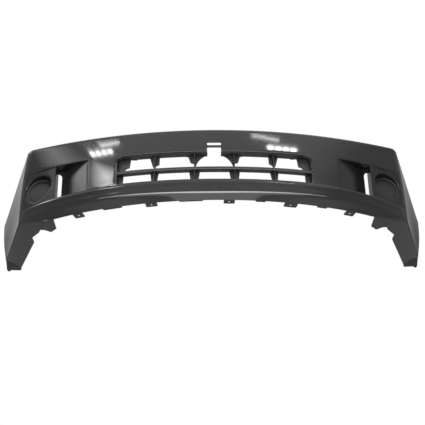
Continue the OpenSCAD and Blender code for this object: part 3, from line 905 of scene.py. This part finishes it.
def upright(mesh, path, thick, low, high):
    """A wall that stands on a path in plan, thick behind it, and leans with the face."""
    normals = []
    for i in range(len(path)):
        step = (path[min(i + 1, len(path) - 1)] - path[max(i - 1, 0)]).normalized()
        normals.append(Vector((-step.y, step.x)))
    outline = path + [p + n * thick for p, n in reversed(list(zip(path, normals)))]
    levels = [ramp(low, high, k / 8) for k in range(9)]
    loft(mesh, [[(p.x, p.y + lean(p.x, z), z) for p in anticlockwise(outline)] for z in levels])


def draw_in(mesh):
    """Leans a pocket's inner half towards the middle of the car at the bottom."""
    for vert in mesh.verts:
        x, z = vert.co.x, vert.co.z
        share = clamp((POCKET_HIGH - z) / (POCKET_HIGH - POCKET_LOW))
        if x < SLOT_OUT + 3:
            vert.co.x -= share * POCKET_LEAN
            vert.co.y += face_y(vert.co.x, z) - face_y(x, z)


def pocket_walls(mesh, low, high):
    """The sloping wall between the face and the slot, and the wall beyond the slot."""
    path = []
    for k in range(25):
        t = k / 24
        x = ramp(POCKET_IN + 0.5, RAMP_OUT, t)
        # A short round shoulder at the face, then a gently hollow slope
        deep = 4 + (RAMP_DEPTH - 4) * (0.75 * t + 0.25 * t * t) * min(1, 0.4 + 4 * t)
        path.append(Vector((x, face_y(x, LAMP_Z) + deep)))
    path.append(Vector((SLOT_IN, face_y(SLOT_IN, LAMP_Z) + RAMP_DEPTH + 1)))
    upright(mesh, path, POCKET_WALL, low, high)
    near = Vector((SLOT_OUT, plate_y(SLOT_OUT, LAMP_Z)))
    far = Vector((SLOT_OUT, face_y(SLOT_OUT, LAMP_Z) + RAMP_DEPTH + 14))
    upright(mesh, [near, far], -POCKET_WALL, low, high)


def slot_corner(mesh, high):
    """The plate that rounds the slot's upper inner corner."""
    y = face_y(SLOT_IN, LAMP_Z) + RAMP_DEPTH
    radius = SLOT_OUT - SLOT_IN + 1
    corner = [(SLOT_IN - 3, high - 1), (SLOT_IN - 3, high - 33)]
    for k in range(9):
        turn = math.radians(180 - 85 * k / 8)
        corner.append((SLOT_OUT + 1 + radius * math.cos(turn), high - 33 + radius * math.sin(turn)))
    corner += [(SLOT_OUT + 2, high - 13), (SLOT_OUT + 2, high - 1)]
    outline = anticlockwise([Vector(p) for p in corner])
    plate(mesh, outline, standing, y, y + 4, 0.2)


def pocket_floor(mesh, z):
    """The flat bottom or top of the pocket, at height z."""
    xs = [ramp(POCKET_IN + 2, POCKET_OUT + 1, k / 30) for k in range(31)]
    front = [Vector((x, face_y(x, z) + 4.5)) for x in xs]
    rear = []
    for x in reversed(xs):
        share = clamp((x - POCKET_IN) / (RAMP_OUT - POCKET_IN))
        rear.append(Vector((x, face_y(x, LAMP_Z) + lean(x, z) + ramp(10, RAMP_DEPTH + 3, share))))
    plate(mesh, anticlockwise(front + rear), lying, z, z + POCKET_WALL, 0.2)


def build_bezel(side):
    """A fog lamp pocket: ramp, air slot and lamp plate."""
    mesh = bmesh.new()
    low, high = POCKET_LOW - 3, POCKET_HIGH + 3
    pocket_walls(mesh, low, high)
    lamp_plate(mesh)
    slot_corner(mesh, high)
    pocket_floor(mesh, POCKET_LOW - 1.5)
    pocket_floor(mesh, POCKET_HIGH - 1)
    draw_in(mesh)
    finish_side(side, "fog_pocket", mesh, "grille", POCKET_PLASTIC, "fog_bezel")


def build_blank(side):
    """A dished cover in the lamp seat, with a raised middle and a rim.

    Its section is turned round the lamp's axis, as (radius, height above the seat).
    """
    outer = [(0.01, 5.0), (16, 4.9), (34, 4.4), (40, 3.9), (43, 3.2), (44.2, 2.4), (46, 2.0), (50, 2.0)]
    outer += [(52, 2.2), (53.4, 3.2), (54.3, 3.0), (54.5, 2.0), (54.5, 0.3)]
    inner = [(44.4, 0.3), (44.4, -5), (42.4, -5), (42.4, 0.3), (36, 2.4), (16, 3.8), (0.01, 4)]
    mesh = bmesh.new()
    rings = [[seat_point(turn, r, LAMP_DEPTH - h) for r, h in outer + inner] for turn in SEAT_TURNS]
    loft(mesh, rings, closed_ends=False)
    # The section's two ends meet on the axis, and leave edges there that no face uses
    bmesh.ops.remove_doubles(mesh, verts=mesh.verts, dist=0.05)
    loose = [edge for edge in mesh.edges if not edge.link_faces]
    bmesh.ops.delete(mesh, geom=loose, context="EDGES")
    finish_side(side, "lamp_blank", mesh, "blank", BLANK_PLASTIC, "fog_blank")


for half in (-1, 1):
    build_bezel(half)
    build_blank(half)

# ------------------------------------------------- hidden pieces, from the CAD
for node, finish in {
    "grille_screws": ZINC,
    "upper_retainer": NYLON,
    "upper_retainer_rivets": NYLON,
    "side_retainer_left": NYLON,
    "side_retainer_right": NYLON,
    "side_retainer_rivets_left": NYLON,
    "side_retainer_rivets_right": NYLON,
    "arch_nuts_left": ZINC,
    "arch_nuts_right": ZINC,
}.items():
    mesh_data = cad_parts[node].data
    mesh_data.materials.clear()
    mesh_data.materials.append(finish)

# --------------------------------------------------------- camera and lighting
CAMERA_AZIMUTH, CAMERA_ELEVATION, CAMERA_ROLL = -1.58, -35.0, -1.3
CAMERA_DISTANCE = 2.2
CAMERA_LENS, CAMERA_SENSOR = 55.39, 36.0
CAMERA_SHIFT_X, CAMERA_SHIFT_Y = -0.0068, -0.0353


def direction(azimuth, elevation):
    """A direction from the cover, from degrees, and the one to its right."""
    turn, lift = math.radians(azimuth), math.radians(elevation)
    outward = Vector((math.sin(turn) * math.cos(lift), -math.cos(turn) * math.cos(lift), math.sin(lift)))
    return outward, Vector((math.cos(turn), math.sin(turn), 0))


def place_camera():
    """Looks up at the cover from below and almost straight from the front."""
    back, right = direction(CAMERA_AZIMUTH, CAMERA_ELEVATION)
    up = back.cross(right)
    tilt = math.radians(CAMERA_ROLL)
    tilted_right = right * math.cos(tilt) + up * math.sin(tilt)
    tilted_up = up * math.cos(tilt) - right * math.sin(tilt)
    data = bpy.data.cameras.new("camera")
    data.lens = CAMERA_LENS
    data.sensor_width = CAMERA_SENSOR
    data.shift_x = CAMERA_SHIFT_X
    data.shift_y = CAMERA_SHIFT_Y
    camera = bpy.data.objects.new("camera", data)
    scene.collection.objects.link(camera)
    place = metres((0, 0, 0)) + back * CAMERA_DISTANCE
    turned = Matrix((tilted_right, tilted_up, back)).transposed().to_4x4()
    camera.matrix_world = Matrix.Translation(place) @ turned
    scene.camera = camera


def build_world():
    """A white surround. In reflections it darkens towards the sides and behind the cover."""
    world = bpy.data.worlds.new("surround")
    scene.world = world
    world.use_nodes = True
    tree = world.node_tree
    background = tree.nodes["Background"]
    place = tree.nodes.new("ShaderNodeTexCoord")
    axes = tree.nodes.new("ShaderNodeSeparateXYZ")
    tree.links.new(place.outputs["Generated"], axes.inputs["Vector"])

    def fall(value, start, end, low):
        """Falls from 1 to low as the value goes from start to end."""
        node = tree.nodes.new("ShaderNodeMapRange")
        node.interpolation_type = "SMOOTHSTEP"
        node.inputs["From Min"].default_value = start
        node.inputs["From Max"].default_value = end
        node.inputs["To Min"].default_value = 1.0
        node.inputs["To Max"].default_value = low
        tree.links.new(value, node.inputs["Value"])
        return node.outputs["Result"]

    def maths(operation, first, second=None):
        node = tree.nodes.new("ShaderNodeMath")
        node.operation = operation
        tree.links.new(first, node.inputs[0])
        if second is not None:
            tree.links.new(second, node.inputs[1])
        return node.outputs["Value"]

    sideways = fall(maths("ABSOLUTE", axes.outputs["X"]), 0.35, 0.62, 0.42)
    backwards = fall(axes.outputs["Y"], 0.1, 0.6, 0.4)
    shade = maths("MULTIPLY", sideways, backwards)
    path = tree.nodes.new("ShaderNodeLightPath")
    tree.links.new(maths("MAXIMUM", shade, path.outputs["Is Camera Ray"]), background.inputs["Strength"])
    background.inputs["Color"].default_value = (1, 1, 1, 1)


COVER_MIDDLE = Vector((0, 0, -0.2))
FLOOR_Z = -2.0


def lamp(name, centre, along, length, width, glow, aim=COVER_MIDDLE):
    """A soft rectangular lamp. glow is its brightness against the white surround."""
    centre, along = Vector(centre), Vector(along).normalized()
    back = (centre - Vector(aim)).normalized()
    up = back.cross(along).normalized()
    data = bpy.data.lights.new(name, "AREA")
    data.shape = "RECTANGLE"
    data.size, data.size_y = length, width
    data.energy = glow * math.pi * length * width
    light = bpy.data.objects.new(name, data)
    scene.collection.objects.link(light)
    turned = Matrix((up.cross(back), up, back)).transposed().to_4x4()
    light.matrix_world = Matrix.Translation(centre) @ turned


def panel(name, azimuth, elevation, wide, high, glow, distance=2.6):
    """A lamp in a direction from the cover's middle, its size in degrees."""
    ray, along = direction(azimuth, elevation)
    across, tall = (math.radians(size) * distance for size in (wide, high))
    lamp(name, COVER_MIDDLE + ray * distance, along, across, tall, glow)


def soft_panel(name, azimuth, elevation, wide, high, glow, distance=2.6):
    """Panels one behind the other, so that the light falls off towards the edge.

    Panels at the same distance would hide one another in a mirrored picture.
    """
    layers = 5
    for k in range(layers):
        share = (k + 1) / layers
        place = distance + 0.03 * k
        panel(f"{name}_{k}", azimuth, elevation, wide * share, high * share, glow / layers, place)


def build_lamps():
    """Ceiling tubes and small lamps, windows on the left, and soft panels in front."""
    lamp("tube_left", (-1.30, -1.09, 2.01), (0.27, -0.04, 0.07), 0.28, 0.022, 26)
    lamp("tube_right", (0.71, -1.20, 2.10), (0.36, 0.04, -0.07), 0.36, 0.022, 22)
    for k in range(4):
        share = k / 3
        left = Vector((-1.57, -1.10, 1.84)).lerp(Vector((-1.32, -1.16, 1.92)), share)
        right = Vector((0.78, -1.30, 1.98)).lerp(Vector((1.09, -1.24, 1.94)), share)
        lamp(f"spot_left_{k}", left, (0.3, -0.07, 0.1), 0.065, 0.065, 36)
        lamp(f"spot_right_{k}", right, (0.38, 0.08, -0.06), 0.08, 0.06, 44)
    soft_panel("panel_left", -46.5, 40.5, 11, 9, 11, 2.7)
    soft_panel("window_left", -89, 35, 24, 12, 5.5)
    soft_panel("glow_left", -63, 38, 20, 14, 2.0, 3.0)
    soft_panel("window_behind", -145, 28, 50, 44, 0.4)
    soft_panel("front_box", 0, -3.5, 100, 16, 17)
    panel("front_soft", 0, -17, 70, 18, 1.8)
    lamp("floor_wash", (0, -2.3, -0.6), (1, 0, 0), 3.6, 2.0, 0.7, aim=(0, -2.3, FLOOR_Z))


def build_floor():
    """A pale floor below the cover and the camera."""
    mesh = bmesh.new()
    bmesh.ops.create_grid(mesh, x_segments=8, y_segments=8, size=40.0)
    data = bpy.data.meshes.new("floor")
    mesh.to_mesh(data)
    mesh.free()
    floor = bpy.data.objects.new("floor", data)
    floor.location.z = FLOOR_Z
    scene.collection.objects.link(floor)
    data.materials.append(moulded("pale_floor", (0.8, 0.8, 0.8), 0.8, 30.0, 0.0005, 0.02))


place_camera()
build_world()
build_lamps()
build_floor()
